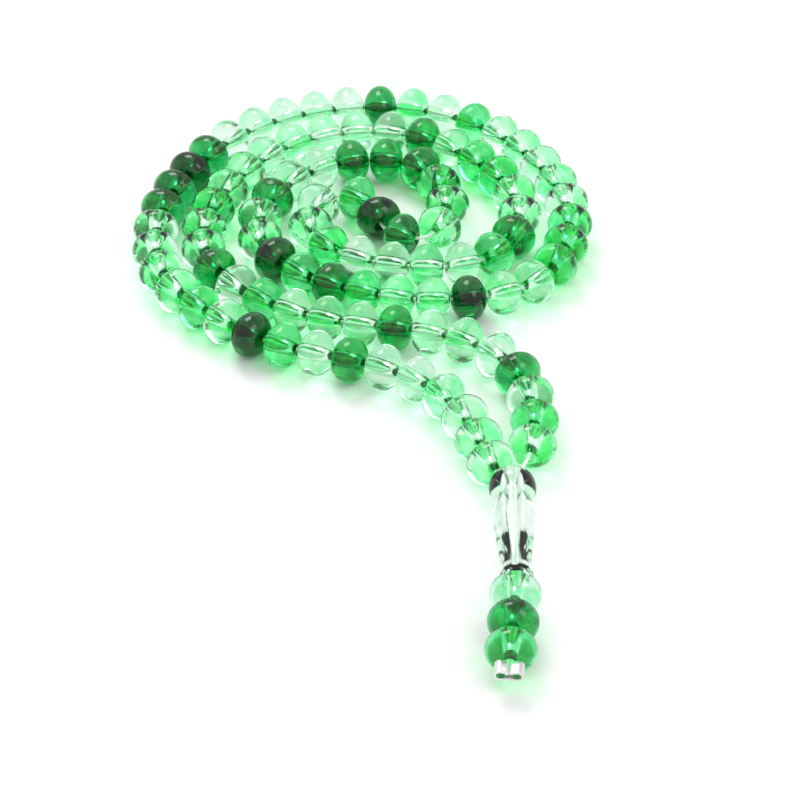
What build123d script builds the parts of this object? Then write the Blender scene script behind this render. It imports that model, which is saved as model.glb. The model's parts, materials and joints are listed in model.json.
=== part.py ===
from build123d import *
from math import atan2, degrees, hypot, pi, radians, tan
import os

# A 99-bead misbaha: one closed loop of oblate beads on a single limp cord, laid in a loose
# double coil on a flat surface.  Both ends of the cord run through the imame (the long leader
# bead), three tail beads and a folded metal crimp.  Millimetres, +Z up.  The origin lies on the
# resting surface, straight below the imame's loop mouth; the tail points along -Y.

os.makedirs("parts", exist_ok=True)

# Beads
bead_diameter = 8.0
bead_length = 5.85
bead_rim_diameter = 2.8
bead_bore = 1.9
bead_count = 99
tail_count = 3
tail_gap = 0.12
flank_clearance = 0.2

# Cord: two lanes side by side inside the imame and the tail beads
cord_diameter = 0.6
lane_offset = 0.32
corner_share = 0.45
mouth_reach = 0.3

# Imame (leader bead)
imame_length = 23.2
imame_collar_diameter = 7.6
imame_waist_diameter = 6.0
imame_body_diameter = 6.7
imame_neck_diameter = 4.6
imame_foot_diameter = 5.2
imame_bore = 2.2

# Crimp: a strip of sheet folded round the two cord ends
crimp_sheet = 0.4
crimp_length = 2.4
crimp_width = 4.6
crimp_clearance = 0.25

# How the beads are shared out: the beads next to the imame are pieces of their own,
# the rest are grouped along the strand
single_left = 9
single_right = 9
group_size = 6

# Guide line of the strand, from the imame round the coil and back, seen from above
drawn_bead_length = 5.85
layout_scale = bead_length / drawn_bead_length
guide_points = [
    (-2.3, 1.0), (-3.5, 4.0), (-7.0, 15.0), (-15.5, 25.0), (-27.0, 30.0), (-39.0, 34.0),
    (-49.5, 41.5), (-57.5, 50.0), (-61.0, 61.5), (-60.0, 73.0), (-55.2, 84.8), (-47.4, 95.3),
    (-35.0, 102.3), (-22.5, 104.5), (-9.5, 102.0), (2.5, 93.0), (9.5, 82.0), (12.5, 70.5),
    (10.5, 58.5), (6.0, 50.8), (-2.5, 47.0), (-12.0, 45.8), (-25.5, 48.5), (-37.5, 55.0),
    (-43.2, 64.5), (-41.0, 75.0), (-34.0, 83.8), (-24.5, 87.3), (-14.0, 85.5), (-9.8, 77.5),
    (-9.3, 68.5), (-11.0, 64.0), (-15.5, 61.8), (-20.0, 63.8), (-21.7, 68.0), (-21.7, 72.0),
    (-23.7, 76.3), (-28.0, 78.0), (-32.3, 75.7), (-34.2, 71.0), (-34.0, 65.5), (-30.0, 60.0),
    (-21.0, 56.3),
    (-11.5, 55.0), (-3.0, 57.0), (3.0, 65.5), (3.0, 76.5), (-4.0, 87.0), (-14.0, 94.5),
    (-26.5, 96.2), (-39.3, 91.0), (-47.5, 80.8), (-51.8, 70.5), (-52.3, 59.0), (-45.5, 48.8),
    (-34.5, 42.0), (-22.5, 38.8), (-10.0, 36.3), (0.0, 29.5), (4.0, 18.5), (2.9, 4.8),
]

bead_radius = bead_diameter / 2
rim_radius = bead_rim_diameter / 2
bead_swell = bead_length / 2 / (1 - (rim_radius / bead_radius) ** 2) ** 0.5
axis_height = bead_radius


# The strand's shape ------------------------------------------------------------------------


def guide_samples(step=0.3):
    """Points close together along a smooth line through the guide points."""
    with BuildLine() as guide:
        Spline(*[(x * layout_scale, y * layout_scale) for x, y in guide_points])
    edge = guide.edges()[0]
    count = int(edge.length / step)
    return [edge.position_at(i / count) for i in range(count + 1)]


def step_along(samples, runs):
    """Points on the sampled line, each one run away from the last, and the length left over,
    which is negative where the line is too short."""
    points = [samples[0]]
    index = 0
    for run in runs:
        while index < len(samples) - 1 and (samples[index] - points[-1]).length < run:
            index += 1
        if index == len(samples) - 1:
            return points, -1.0
        back = samples[index - 1]
        ahead = samples[index]
        near = (back - points[-1]).length
        far = (ahead - points[-1]).length
        share = (run - near) / (far - near)
        points.append(back + (ahead - back) * share)
    return points, (samples[-1] - points[-1]).length


def heading(a, b):
    return degrees(atan2(b.Y - a.Y, b.X - a.X))


def turn_at(points, i):
    """The angle by which the line through three following points turns at the middle one."""
    change = heading(points[i], points[i + 1]) - heading(points[i - 1], points[i])
    return abs((change + 180) % 360 - 180)


def gap_for_turn(turn):
    """How far apart two beads stand where the cord turns by an angle between them.  In a gentle
    bend their rims meet first, and in a tight one their rounded flanks do."""
    lean = tan(radians(turn / 2))
    flank = hypot(bead_swell, bead_radius * lean)
    if bead_radius**2 * lean / flank < rim_radius:
        return 2 * rim_radius * lean
    return 2 * flank - bead_length + flank_clearance


def joints_of_strand(samples, passes=10):
    """The points between beads.  Two beads that turn away from each other stand apart by as much
    as their rims need, and the slack that is left in the cord is shared evenly."""
    turns = [0.0] * (bead_count + 1)
    for _ in range(passes):
        low, high = -0.2, 1.5
        while high - low > 1e-4:
            slack = (low + high) / 2
            gaps = [slack + gap_for_turn(turn) for turn in turns]
            runs = [bead_length + (gaps[i] + gaps[i + 1]) / 2 for i in range(bead_count)]
            points, left_over = step_along(samples, runs)
            if left_over > 0:
                low = slack
                fitted = points
                fitted_gaps = gaps
            else:
                high = slack
        points = fitted
        fresh = [0.0] + [turn_at(points, i) for i in range(1, bead_count)] + [0.0]
        turns = [(old + new) / 2 for old, new in zip(turns, fresh)]
    return fitted, fitted_gaps, low


def along(a, b):
    return (b - a).normalized()


samples = guide_samples()
joints, gaps, slack = joints_of_strand(samples)
lift = Vector(0, 0, axis_height)

bead_places = []
for i in range(bead_count):
    direction = along(joints[i], joints[i + 1])
    centre = joints[i] + direction * (gaps[i] / 2 + bead_length / 2) + lift
    bead_places.append((centre, direction))

tail_direction = Vector(-0.09, -1, 0).normalized()
tail_start = Vector(0, -imame_length, 0)
tail_places = []
for i in range(tail_count):
    reach = tail_gap + bead_length / 2 + i * (bead_length + tail_gap)
    tail_places.append((tail_start + tail_direction * reach + lift, tail_direction))


# Beads -------------------------------------------------------------------------------------


def bead(centre, direction):
    """One oblate bead, bored along its short axis, added to the part being built."""
    wall = bead_radius - bead_bore / 2
    with BuildSketch(Plane(origin=centre, x_dir=direction, z_dir=(0, 0, 1))) as profile:
        Ellipse(bead_swell, bead_radius)
        with Locations((0, bead_bore / 2)):
            Rectangle(bead_length, wall, align=(Align.CENTER, Align.MIN), mode=Mode.INTERSECT)
    revolve(profile.sketch, axis=Axis(centre, direction))


def write(part, name):
    part.label = name
    export_step(part, f"parts/{name}.step")


for i in range(single_left):
    with BuildPart() as left_bead:
        bead(*bead_places[i])
    write(left_bead.part, f"left_bead_{i + 1:02d}")

for i in range(single_right):
    with BuildPart() as right_bead:
        bead(*bead_places[bead_count - 1 - i])
    write(right_bead.part, f"right_bead_{i + 1:02d}")

first = single_left
last = bead_count - single_right
group = 0
while first < last:
    group += 1
    with BuildPart() as bead_group:
        for place in bead_places[first:min(first + group_size, last)]:
            bead(*place)
    write(bead_group.part, f"coil_beads_{group:02d}")
    first += group_size

for i in range(tail_count):
    with BuildPart() as tail_bead:
        bead(*tail_places[i])
    write(tail_bead.part, f"tail_bead_{i + 1}")


# Imame -------------------------------------------------------------------------------------

with BuildPart() as imame:
    # Profile in the vertical plane through the bore; the first coordinate runs from the loop
    # mouth towards the tail.
    profile_plane = Plane(origin=(0, 0, axis_height), x_dir=(0, -1, 0), z_dir=(1, 0, 0))
    bore = imame_bore / 2
    collar = imame_collar_diameter / 2
    waist = imame_waist_diameter / 2
    body = imame_body_diameter / 2
    neck = imame_neck_diameter / 2
    foot = imame_foot_diameter / 2
    collar_end = imame_length * 0.2
    foot_start = imame_length * 0.9
    with BuildSketch(profile_plane):
        with BuildLine():
            Polyline((0, collar - 0.9), (0, bore), (imame_length, bore), (imame_length, foot - 0.5))
            ThreePointArc(
                (0, collar - 0.9), (collar_end * 0.45, collar), (collar_end, waist)
            )
            Spline(
                (collar_end, waist),
                (imame_length * 0.4, body),
                (imame_length * 0.65, (body + neck) / 2),
                (foot_start, neck),
            )
            ThreePointArc(
                (foot_start, neck),
                ((foot_start + imame_length) / 2 + 0.2, foot),
                (imame_length, foot - 0.5),
            )
        make_face()
    revolve(axis=Axis((0, 0, axis_height), (0, -1, 0)))
write(imame.part, "imame")


# Crimp -------------------------------------------------------------------------------------

crimp_start = tail_places[-1][0] + tail_direction * (bead_length / 2 + tail_gap)
sheet_line = cord_diameter / 2 + crimp_clearance + crimp_sheet / 2
lobe_radius = (sheet_line + cord_diameter / 2 + crimp_clearance + crimp_sheet / 2) / 2
lobe_centre = crimp_width / 2 - crimp_sheet / 2 - lobe_radius
with BuildPart() as crimp:
    # Cross-section of the folded strip: a flat back above the cord ends, two flaps curled under
    with BuildSketch(Plane(origin=crimp_start, x_dir=(1, 0, 0), z_dir=tail_direction)) as strip:
        with BuildLine():
            Line((-lobe_centre, -sheet_line), (lobe_centre, -sheet_line))
            for side in (-1, 1):
                ThreePointArc(
                    (side * lobe_centre, -sheet_line),
                    (side * (lobe_centre + lobe_radius), 0),
                    (side * lobe_centre, sheet_line),
                )
                Line((side * lobe_centre, sheet_line), (side * crimp_sheet, sheet_line * 0.86))
        trace(line_width=crimp_sheet)
    extrude(amount=crimp_length)
write(crimp.part, "cord_crimp")


# Cord --------------------------------------------------------------------------------------


def lane(side):
    """One cord end, from inside the crimp through the tail beads and the imame."""
    shift = Vector(side * lane_offset, 0, 0)
    end = crimp_start + tail_direction * (crimp_length * 0.8)
    return [end + shift, tail_start + lift + shift, lift + shift + Vector(0, mouth_reach, 0)]


strand_points = [point + lift for point in joints]
cord_points = lane(-1) + strand_points + lane(1)[::-1]

# a point that hardly turns the route is left out: it has no corner to round
route = [cord_points[0]]
for i in range(1, len(cord_points) - 1):
    if turn_at([route[-1], cord_points[i], cord_points[i + 1]], 1) > 0.2:
        route.append(cord_points[i])
route.append(cord_points[-1])

runs = [(b - a).length for a, b in zip(route, route[1:])]
radii = []
for i in range(1, len(route) - 1):
    shorter = min(runs[i - 1], runs[i])
    radii.append(corner_share * shorter / tan(radians(turn_at(route, i) / 2)))

with BuildPart() as cord:
    with BuildLine():
        path = FilletPolyline(*route, radius=radii)
    with BuildSketch(Plane(origin=path @ 0, z_dir=path % 0)):
        Circle(cord_diameter / 2)
    sweep()
write(cord.part, "cord")

section = pi * cord_diameter**2 / 4
print(f"slack per bead {slack:.3f} mm, widest gap {max(gaps):.2f} mm")
print(f"cord length {path.length:.1f} mm, volume / (section x length) "
      f"{cord.part.volume / (section * path.length):.4f}")
print("cord radii, smallest first:", [round(r, 1) for r in sorted(radii)[:12]])
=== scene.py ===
import json
import math

import bmesh
import bpy
from mathutils import Matrix, Vector


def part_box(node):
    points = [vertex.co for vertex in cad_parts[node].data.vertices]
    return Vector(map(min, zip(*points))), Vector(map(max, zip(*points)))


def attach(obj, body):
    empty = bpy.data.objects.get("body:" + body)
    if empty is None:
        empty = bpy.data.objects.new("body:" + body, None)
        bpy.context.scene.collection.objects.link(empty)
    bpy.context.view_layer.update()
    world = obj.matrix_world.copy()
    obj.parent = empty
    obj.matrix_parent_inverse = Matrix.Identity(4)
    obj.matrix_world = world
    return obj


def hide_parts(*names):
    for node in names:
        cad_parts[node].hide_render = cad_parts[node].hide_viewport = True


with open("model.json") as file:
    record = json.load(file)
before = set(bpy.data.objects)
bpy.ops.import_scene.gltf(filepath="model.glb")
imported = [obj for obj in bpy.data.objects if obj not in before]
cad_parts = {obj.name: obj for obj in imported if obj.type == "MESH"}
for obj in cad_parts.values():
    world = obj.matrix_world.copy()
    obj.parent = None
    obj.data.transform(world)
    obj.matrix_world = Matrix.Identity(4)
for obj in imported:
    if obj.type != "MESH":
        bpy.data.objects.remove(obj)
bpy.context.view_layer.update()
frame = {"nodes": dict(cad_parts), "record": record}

# A green and clear misbaha in a loose double coil.  Metres.  Smooth turned meshes stand in for the
# CAD beads, at centres worked out from the CAD meshes, and for the imame.  The cord and the crimp
# stay CAD pieces.

MM = 0.001
BEAD_RADIUS = 4.0 * MM
BEAD_HALF_LENGTH = 2.925 * MM
BEAD_RIM_RADIUS = 1.4 * MM
BEAD_BORE_RADIUS = 0.95 * MM
BORE_MOUTH_BEVEL = 0.12 * MM
AXIS_HEIGHT = 4.0 * MM
SEGMENTS = 64
LONGEST_BEAD = 2.3 * BEAD_RADIUS

CAMERA_PLACE = Vector((-17.8, -331.5, 300.5)) * MM
CAMERA_PITCH_DOWN = 40.2
CAMERA_LENS = 126.0
CAMERA_SENSOR = 36.0

WORLD_AS_SEEN = 1.0
WORLD_AS_LIGHT = 0.85
LIGHT_TARGET = Vector((-0.02, 0.06, 0.0))

FLOOR_SIZE = 6.0
FLOOR_DROP = 0.00002
FLOOR_WHITE = 0.93

ACRYLIC_IOR = 1.49
ACRYLIC_ROUGHNESS = 0.03
STREAK_SCALE = 260.0
STREAK_DETAIL = 2.0
STREAK_DISTORTION = 1.2
STREAK_EDGES = (0.36, 0.62)

GRAIN_SCALE = 2500.0
GRAIN_STRENGTH = 0.25
GRAIN_DEPTH = 0.00005


# Camera, floor and light -------------------------------------------------------------------

camera_data = bpy.data.cameras.new("camera")
camera_data.sensor_width = CAMERA_SENSOR
camera_data.lens = CAMERA_LENS
camera = bpy.data.objects.new("camera", camera_data)
camera.location = CAMERA_PLACE
camera.rotation_euler = (math.radians(90.0 - CAMERA_PITCH_DOWN), 0.0, 0.0)
camera_data.clip_start = 0.01
bpy.context.collection.objects.link(camera)
bpy.context.scene.camera = camera
bpy.context.scene.view_settings.view_transform = "Standard"


def new_material(name):
    """An empty node material: the material, its tree and its output node."""
    material = bpy.data.materials.new(name)
    material.use_nodes = True
    tree = material.node_tree
    tree.nodes.clear()
    output = tree.nodes.new("ShaderNodeOutputMaterial")
    return material, tree, output


# The world looks pure white straight on and through the beads, and lights a little less than white
world = bpy.data.worlds.new("studio")
bpy.context.scene.world = world
world.use_nodes = True
nodes = world.node_tree.nodes
links = world.node_tree.links
background = nodes["Background"]
path = nodes.new("ShaderNodeLightPath")
seen = nodes.new("ShaderNodeMath")
seen.operation = "MAXIMUM"
links.new(path.outputs["Is Camera Ray"], seen.inputs[0])
links.new(path.outputs["Is Transmission Ray"], seen.inputs[1])
strength = nodes.new("ShaderNodeMapRange")
strength.inputs["To Min"].default_value = WORLD_AS_LIGHT
strength.inputs["To Max"].default_value = WORLD_AS_SEEN
links.new(seen.outputs[0], strength.inputs["Value"])
links.new(strength.outputs["Result"], background.inputs["Strength"])
background.inputs["Color"].default_value = (1.0, 1.0, 1.0, 1.0)

bpy.ops.mesh.primitive_plane_add(size=FLOOR_SIZE, location=(0.0, 0.0, -FLOOR_DROP))
floor = bpy.context.object
floor.name = "floor"
floor_material, tree, output = new_material("floor_white")
paper = tree.nodes.new("ShaderNodeBsdfDiffuse")
paper.inputs["Color"].default_value = (FLOOR_WHITE, FLOOR_WHITE, FLOOR_WHITE, 1.0)
tree.links.new(paper.outputs[0], output.inputs["Surface"])
floor.data.materials.append(floor_material)


def softbox(name, location, size, power):
    """A square area light that faces the coil."""
    data = bpy.data.lights.new(name, "AREA")
    data.size = size
    data.energy = power
    lamp = bpy.data.objects.new(name, data)
    lamp.location = location
    lamp.rotation_euler = (LIGHT_TARGET - lamp.location).to_track_quat("-Z", "Y").to_euler()
    bpy.context.collection.objects.link(lamp)


softbox("key_box", Vector((-0.15, 0.35, 0.45)), size=0.25, power=1.2)
softbox("fill_box", Vector((0.35, -0.2, 0.5)), size=0.3, power=0.7)


# Materials ---------------------------------------------------------------------------------


def acrylic(name, colours):
    """Polished translucent acrylic with the colours streaked through it.  Light that passes
    through to the floor keeps the bead's colour."""
    material, tree, output = new_material(name)
    nodes = tree.nodes
    links = tree.links
    coordinates = nodes.new("ShaderNodeTexCoord")
    noise = nodes.new("ShaderNodeTexNoise")
    noise.inputs["Scale"].default_value = STREAK_SCALE
    noise.inputs["Detail"].default_value = STREAK_DETAIL
    noise.inputs["Distortion"].default_value = STREAK_DISTORTION
    links.new(coordinates.outputs["Object"], noise.inputs["Vector"])
    ramp = nodes.new("ShaderNodeValToRGB")
    ramp.color_ramp.elements[0].position = STREAK_EDGES[0]
    ramp.color_ramp.elements[1].position = STREAK_EDGES[1]
    ramp.color_ramp.elements[0].color = (*colours[0], 1.0)
    ramp.color_ramp.elements[1].color = (*colours[1], 1.0)
    links.new(noise.outputs["Fac"], ramp.inputs["Fac"])
    glass = nodes.new("ShaderNodeBsdfPrincipled")
    links.new(ramp.outputs["Color"], glass.inputs["Base Color"])
    glass.inputs["Roughness"].default_value = ACRYLIC_ROUGHNESS
    glass.inputs["IOR"].default_value = ACRYLIC_IOR
    glass.inputs["Transmission Weight"].default_value = 1.0
    clear = nodes.new("ShaderNodeBsdfTransparent")
    links.new(ramp.outputs["Color"], clear.inputs["Color"])
    ray = nodes.new("ShaderNodeLightPath")
    mix = nodes.new("ShaderNodeMixShader")
    links.new(ray.outputs["Is Shadow Ray"], mix.inputs["Fac"])
    links.new(glass.outputs[0], mix.inputs[1])
    links.new(clear.outputs[0], mix.inputs[2])
    links.new(mix.outputs[0], output.inputs["Surface"])
    return material


FAMILIES = {
    "dark": acrylic("acrylic_dark", [(0.0, 0.045, 0.008), (0.005, 0.16, 0.03)]),
    "deep": acrylic("acrylic_deep", [(0.0, 0.17, 0.03), (0.03, 0.62, 0.15)]),
    "green": acrylic("acrylic_green", [(0.02, 0.62, 0.14), (0.22, 0.93, 0.42)]),
    "light": acrylic("acrylic_light", [(0.13, 0.88, 0.33), (0.82, 1.0, 0.88)]),
    "clear": acrylic("acrylic_clear", [(0.42, 0.90, 0.58), (0.86, 0.96, 0.89)]),
    "glass": acrylic("acrylic_glass", [(0.78, 0.88, 0.82), (0.90, 0.95, 0.92)]),
}
FAMILY_NAMES = list(FAMILIES)


def plain(name, colour, roughness, metallic):
    """A surface of one colour with a fine grain in its relief."""
    material, tree, output = new_material(name)
    shader = tree.nodes.new("ShaderNodeBsdfPrincipled")
    shader.inputs["Base Color"].default_value = (*colour, 1.0)
    shader.inputs["Metallic"].default_value = metallic
    shader.inputs["Roughness"].default_value = roughness
    grain = tree.nodes.new("ShaderNodeTexNoise")
    grain.inputs["Scale"].default_value = GRAIN_SCALE
    bump = tree.nodes.new("ShaderNodeBump")
    bump.inputs["Strength"].default_value = GRAIN_STRENGTH
    bump.inputs["Distance"].default_value = GRAIN_DEPTH
    tree.links.new(grain.outputs["Fac"], bump.inputs["Height"])
    tree.links.new(bump.outputs["Normal"], shader.inputs["Normal"])
    tree.links.new(shader.outputs[0], output.inputs["Surface"])
    return material


thread = plain("pale_thread", (0.86, 0.92, 0.87), 0.7, 0.0)
metal = plain("crimp_metal", (0.78, 0.78, 0.77), 0.2, 1.0)

# The tone of each loop bead in order along the strand, from the left side of the imame to the
# right: c clear, m mint, g green, d deep, v very dark.  Judged from the photograph, which
# shows a few more beads than these, so in places a tone is a bead or so from where it is there.
TONES = (
    "mmcmccdcgv" "mgmmmmddvd" "cccccdmcgc" "mcmcgggmmv" "mmgdgvmmdc"
    "cdddgmmdvg" "cmgccmcgdc" "mggmdcccmc" "mmgmmdcgmm" "cdcmcdmgm"
)
TAIL_TONES = "mdg"
FAMILY_OF_TONE = {"c": "clear", "m": "light", "g": "green", "d": "deep", "v": "dark"}


# Turned pieces -----------------------------------------------------------------------------


def turned(mesh, profile, centre, axis, slot_index):
    """Adds a closed profile, turned about an axis, to a bmesh.  Profile points are pairs of
    distance along the axis and radius."""
    turn = Vector((0.0, 0.0, 1.0)).rotation_difference(axis).to_matrix().to_4x4()
    place = Matrix.Translation(centre) @ turn
    rings = []
    for k in range(SEGMENTS):
        angle = 2.0 * math.pi * k / SEGMENTS
        ring = []
        for along, radius in profile:
            point = Vector((radius * math.cos(angle), radius * math.sin(angle), along))
            ring.append(mesh.verts.new(place @ point))
        rings.append(ring)
    count = len(profile)
    for k in range(SEGMENTS):
        here = rings[k]
        there = rings[(k + 1) % SEGMENTS]
        for i in range(count):
            j = (i + 1) % count
            face = mesh.faces.new((here[i], there[i], there[j], here[j]))
            face.smooth = True
            face.material_index = slot_index


def bead_profile(steps=28):
    """The closed outline of a bead: a bulging side, flat rims and a bore with bevelled mouths."""
    swell = BEAD_HALF_LENGTH / math.sqrt(1.0 - (BEAD_RIM_RADIUS / BEAD_RADIUS) ** 2)
    edge = math.asin(BEAD_HALF_LENGTH / swell)
    points = []
    for i in range(steps + 1):
        angle = -edge + 2.0 * edge * i / steps
        points.append((swell * math.sin(angle), BEAD_RADIUS * math.cos(angle)))
    mouth = BEAD_BORE_RADIUS + BORE_MOUTH_BEVEL * 1.5
    inside = BEAD_HALF_LENGTH - BORE_MOUTH_BEVEL
    points.append((BEAD_HALF_LENGTH, mouth))
    points.append((inside, BEAD_BORE_RADIUS))
    points.append((-inside, BEAD_BORE_RADIUS))
    points.append((-BEAD_HALF_LENGTH, mouth))
    return points


def finish_mesh(name, mesh, materials):
    """A new object from a bmesh, with its faces turned outwards."""
    bmesh.ops.recalc_face_normals(mesh, faces=mesh.faces)
    data = bpy.data.meshes.new(name)
    mesh.to_mesh(data)
    mesh.free()
    for material in materials:
        data.materials.append(material)
    piece = bpy.data.objects.new(name, data)
    bpy.context.collection.objects.link(piece)
    return piece


def solids_of(node):
    """The separate solids of a CAD node, each as a list of triangles of points."""
    mesh = bmesh.new()
    mesh.from_mesh(node.data)
    bmesh.ops.remove_doubles(mesh, verts=mesh.verts, dist=1e-7)
    bmesh.ops.triangulate(mesh, faces=mesh.faces)
    todo = set(mesh.verts)
    solids = []
    while todo:
        stack = [todo.pop()]
        faces = set()
        while stack:
            vert = stack.pop()
            for face in vert.link_faces:
                faces.add(face)
                for other in face.verts:
                    if other in todo:
                        todo.discard(other)
                        stack.append(other)
        solids.append([[v.co.copy() for v in face.verts] for face in faces])
    mesh.free()
    return solids


def centre_and_axis(triangles):
    """The middle of one bead's surface, and its short direction, which lies level."""
    total = 0.0
    centre = Vector()
    parts = []
    for a, b, c in triangles:
        area = (b - a).cross(c - a).length / 2.0
        middle = (a + b + c) / 3.0
        parts.append((area, middle))
        centre += middle * area
        total += area
    centre /= total
    xx = xy = yy = 0.0
    for area, middle in parts:
        offset = middle - centre
        xx += area * offset.x * offset.x
        xy += area * offset.x * offset.y
        yy += area * offset.y * offset.y
    long_way = 0.5 * math.atan2(2.0 * xy, xx - yy)
    axis = Vector((-math.sin(long_way), math.cos(long_way), 0.0))
    return Vector((centre.x, centre.y, AXIS_HEIGHT)), axis


def split_fused(triangles):
    """One list of triangles for each bead: a solid longer than a bead is two beads fused in the
    CAD, and each triangle goes to the nearer end."""
    points = [corner for triangle in triangles for corner in triangle]
    far_a = max(points, key=lambda p: (p - points[0]).length)
    far_b = max(points, key=lambda p: (p - far_a).length)
    if (far_b - far_a).length < LONGEST_BEAD:
        return [triangles]
    near_a = [t for t in triangles if (t[0] - far_a).length < (t[0] - far_b).length]
    near_b = [t for t in triangles if (t[0] - far_a).length >= (t[0] - far_b).length]
    return [near_a, near_b]


body_of = {}
for body, members in frame["record"]["behaviour"]["bodies"].items():
    for member in members:
        body_of[member] = body

PROFILE = bead_profile()
MATERIALS = list(FAMILIES.values())


def strand_order():
    """The loop bead nodes in order along the strand, from the left of the imame to the right."""
    names = sorted(n for n in body_of if "bead" in n and not n.startswith("tail"))
    left = [n for n in names if n.startswith("left")]
    coil = [n for n in names if n.startswith("coil")]
    right = [n for n in names if n.startswith("right")]
    return left + coil + right[::-1]


def beads_of(name):
    """Centre and axis of each bead in a node."""
    beads = []
    for solid in solids_of(frame["nodes"][name]):
        beads += [centre_and_axis(triangles) for triangles in split_fused(solid)]
    return beads


def smooth_beads(name, beads, tones):
    """Stands turned beads of the given tones in for the beads of a CAD node."""
    mesh = bmesh.new()
    for (centre, axis), tone in zip(beads, tones, strict=True):
        turned(mesh, PROFILE, centre, axis, FAMILY_NAMES.index(FAMILY_OF_TONE[tone]))
    piece = finish_mesh("smooth_" + name, mesh, MATERIALS)
    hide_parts(name)
    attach(piece, body_of[name])


# Beads of a node come in no order, so the strand goes on each time with the nearest one left
count = 0
last = Vector((0.0, 0.0, AXIS_HEIGHT))
for name in strand_order():
    loose = beads_of(name)
    beads = []
    while loose:
        nearest = min(loose, key=lambda bead: (bead[0] - last).length)
        loose.remove(nearest)
        beads.append(nearest)
        last = nearest[0]
    smooth_beads(name, beads, TONES[count : count + len(beads)])
    count += len(beads)
for index, tone in enumerate(TAIL_TONES, 1):
    name = f"tail_bead_{index}"
    smooth_beads(name, beads_of(name), tone)


# Imame -------------------------------------------------------------------------------------

# Outline as shares of the length from the loop mouth, and of the collar's radius
low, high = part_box("imame")
imame_length = high[1] - low[1]
collar = (high[2] - low[2]) / 2.0
knots = [
    (0.0, 0.76), (0.02, 0.86), (0.05, 0.95), (0.09, 1.0), (0.13, 0.98), (0.17, 0.90), (0.20, 0.79),
    (0.24, 0.80), (0.31, 0.86), (0.40, 0.88), (0.50, 0.83), (0.65, 0.74), (0.78, 0.66), (0.90, 0.605),
    (0.92, 0.64), (0.95, 0.68), (0.98, 0.66), (1.0, 0.56), (1.0, 0.32), (0.985, 0.29), (0.015, 0.29),
    (0.0, 0.32),
]
profile = [(share * imame_length, radius * collar) for share, radius in knots]
mesh = bmesh.new()
mouth_centre = Vector((0.0, high[1], (low[2] + high[2]) / 2.0))
turned(mesh, profile, mouth_centre, Vector((0.0, -1.0, 0.0)), 0)
imame = finish_mesh("clear_imame", mesh, [FAMILIES["glass"]])
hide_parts("imame")
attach(imame, body_of["imame"])

for name, material in (("cord", thread), ("cord_crimp", metal)):
    carried = frame["nodes"][name]
    carried.data.materials.clear()
    carried.data.materials.append(material)
